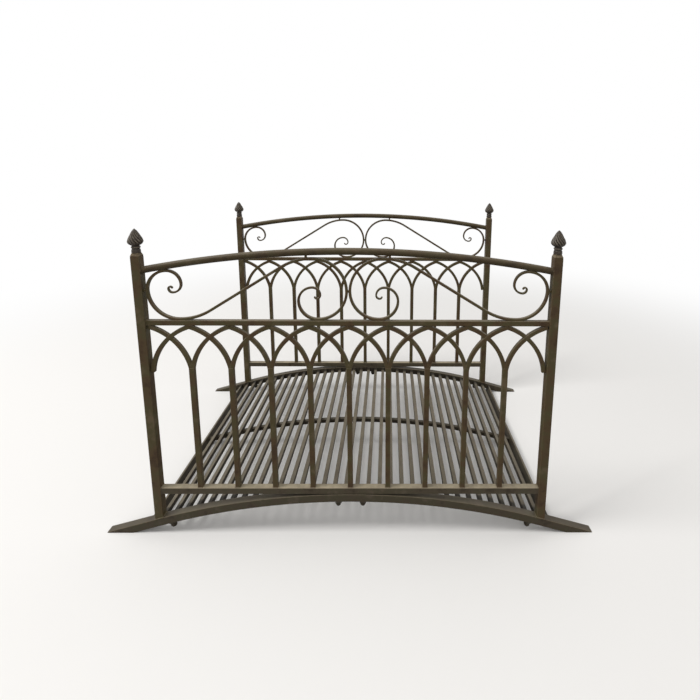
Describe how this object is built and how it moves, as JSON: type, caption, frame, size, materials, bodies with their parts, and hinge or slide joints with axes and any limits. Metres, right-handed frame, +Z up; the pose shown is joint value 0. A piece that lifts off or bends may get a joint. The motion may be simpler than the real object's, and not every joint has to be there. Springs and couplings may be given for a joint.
{
  "type": "garden bridge",
  "caption": "Arched metal garden footbridge with slatted deck, Gothic arch railings, S-scrolls under a curved handrail and fluted finials on its posts.",
  "frame": {"origin": "centre of the footprint, on the ground under mid span", "axes": "+X along the walkway, +Y across it to the back railing, +Z up"},
  "size_m": [1.5, 0.8796, 0.9485],
  "materials": {
    "frame_coat": "satin bronze-brown powder coat",
    "deck_coat": "satin bronze-brown powder coat, walked on",
    "finial_coat": "satin bronze-brown powder coat on cast finials"
  },
  "bodies": {
    "root": {"front_side_beam": "frame_coat", "back_side_beam": "frame_coat", "middle_beam": "deck_coat", "left_end_bar": "deck_coat", "right_end_bar": "deck_coat", "deck_slats": "deck_coat", "front_left_post": "frame_coat", "front_right_post": "frame_coat", "back_left_post": "frame_coat", "back_right_post": "frame_coat", "front_left_finial": "finial_coat", "front_right_finial": "finial_coat", "back_left_finial": "finial_coat", "back_right_finial": "finial_coat", "front_handrail": "frame_coat", "back_handrail": "frame_coat", "front_mid_rail": "frame_coat", "back_mid_rail": "frame_coat", "front_bottom_rail": "frame_coat", "back_bottom_rail": "frame_coat", "front_arches": "frame_coat", "back_arches": "frame_coat", "front_left_scroll": "frame_coat", "front_right_scroll": "frame_coat", "back_left_scroll": "frame_coat", "back_right_scroll": "frame_coat"}
  },
  "joints": []
}
